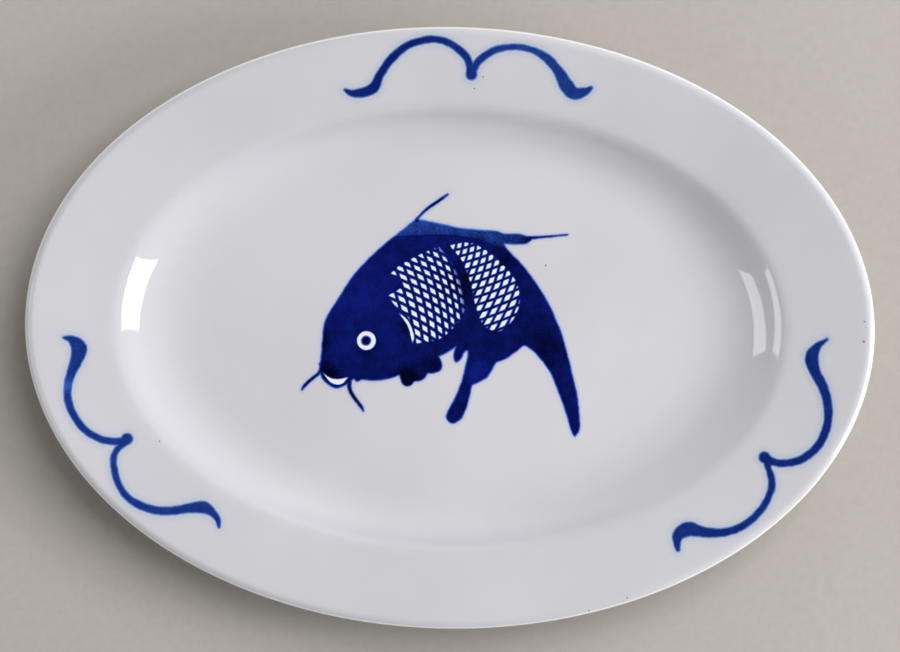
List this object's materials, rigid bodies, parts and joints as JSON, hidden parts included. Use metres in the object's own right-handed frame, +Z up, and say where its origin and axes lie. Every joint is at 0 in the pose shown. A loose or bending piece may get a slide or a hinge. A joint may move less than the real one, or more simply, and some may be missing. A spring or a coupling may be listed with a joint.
{
  "type": "oval serving platter",
  "caption": "Oval porcelain platter with a shallow well, sloping rim and foot ring, painted in cobalt blue under clear glaze with a carp and rim scrolls.",
  "frame": {"origin": "on the table under the middle of the platter", "axes": "+X along the length, +Y to the side that the carp's back faces, +Z up"},
  "size_m": [0.3052, 0.2162, 0.0261],
  "materials": {
    "fired_clay": "white fired porcelain, matte where bare",
    "clear_glaze": "clear gloss glaze",
    "cobalt": "dense cobalt blue under gloss glaze",
    "pale_cobalt": "thin cobalt wash under gloss glaze",
    "rim_cobalt": "cobalt brush strokes under gloss glaze"
  },
  "bodies": {
    "root": {"porcelain_body": "fired_clay", "carp_body": "cobalt", "carp_pupil": "cobalt", "carp_barbel_left": "cobalt", "carp_barbel_right": "cobalt", "carp_dorsal_ray": "cobalt", "carp_dorsal_streamer": "cobalt", "carp_dorsal_fin": "pale_cobalt", "rim_scroll_top": "rim_cobalt", "rim_scroll_left": "rim_cobalt", "rim_scroll_right": "rim_cobalt", "face_glaze": "clear_glaze", "base_glaze": "clear_glaze"}
  },
  "joints": []
}
